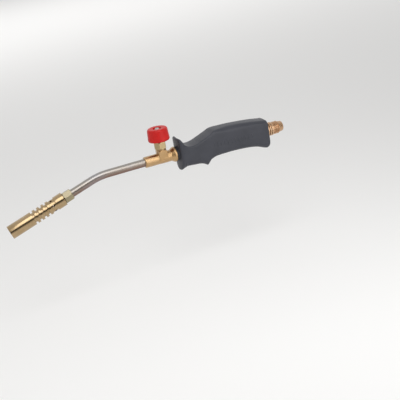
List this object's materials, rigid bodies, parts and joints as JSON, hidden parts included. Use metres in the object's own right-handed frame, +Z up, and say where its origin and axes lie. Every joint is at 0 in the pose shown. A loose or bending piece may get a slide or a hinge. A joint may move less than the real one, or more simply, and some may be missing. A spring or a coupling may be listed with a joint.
{
  "type": "propane torch",
  "caption": "Hand-held gas torch: ribbed brass burner on a bent steel neck, needle valve with a red knob, grey moulded handle and a threaded gas inlet.",
  "frame": {"origin": "centre of the gas inlet's end face, on the inlet's axis, where a hose is screwed on", "axes": "+X along the inlet's axis out of the inlet, away from the burner; +Z up, towards the knob; +Y completes a right-handed frame"},
  "size_m": [0.3751, 0.0276, 0.085],
  "materials": {
    "burner_brass": "polished, with a faint yellow-green passivated sheen and turning marks",
    "valve_brass": "bright machined and tumbled golden brass",
    "nut_brass": "passivated pale brass hexagon",
    "inlet_brass": "bright machined copper-toned brass",
    "neck_steel": "satin steel tube with a warm iridescent tint",
    "zinc_steel": "bright zinc plated",
    "black_rubber": "matt black rubber",
    "white_packing": "waxy white packing ring",
    "red_plastic": "semi-gloss moulded red plastic",
    "grey_plastic": "satin moulded slate-grey plastic with fine spark texture"
  },
  "bodies": {
    "torch": {"burner_barrel": "burner_brass", "flame_holder": "burner_brass", "jet_holder": "burner_brass", "gas_jet": "valve_brass", "jet_seal": "black_rubber", "neck_tube": "neck_steel", "valve_body": "valve_brass", "packing_washer": "valve_brass", "gland_packing": "white_packing", "gland_nut": "nut_brass", "flange_seal": "black_rubber", "supply_tube": "zinc_steel", "handle_left": "grey_plastic", "handle_right": "grey_plastic", "handle_screw_1": "zinc_steel", "handle_screw_2": "zinc_steel", "handle_screw_3": "zinc_steel", "inlet_connector": "inlet_brass", "inlet_filter": "zinc_steel"},
    "spindle_carrier": {"spindle_o_ring": "black_rubber"},
    "knob_and_spindle": {"valve_spindle": "valve_brass", "knob": "red_plastic", "knob_washer": "zinc_steel", "knob_screw": "zinc_steel"}
  },
  "joints": [
    {"name": "spindle_lift", "type": "slide", "parent": "torch", "child": "spindle_carrier", "axis": [0, 0, 1], "range_m": [0, 0.00151]},
    {"name": "knob_turn", "type": "hinge", "parent": "spindle_carrier", "child": "knob_and_spindle", "pos_m": [-0.1685, 0, 0.0028], "axis": [0, 0, 1], "range_deg": [0, 540]}
  ],
  "couplings": [
    {"joint": "spindle_lift", "follows": "knob_turn", "m_per_rad": 0.00015915}
  ]
}
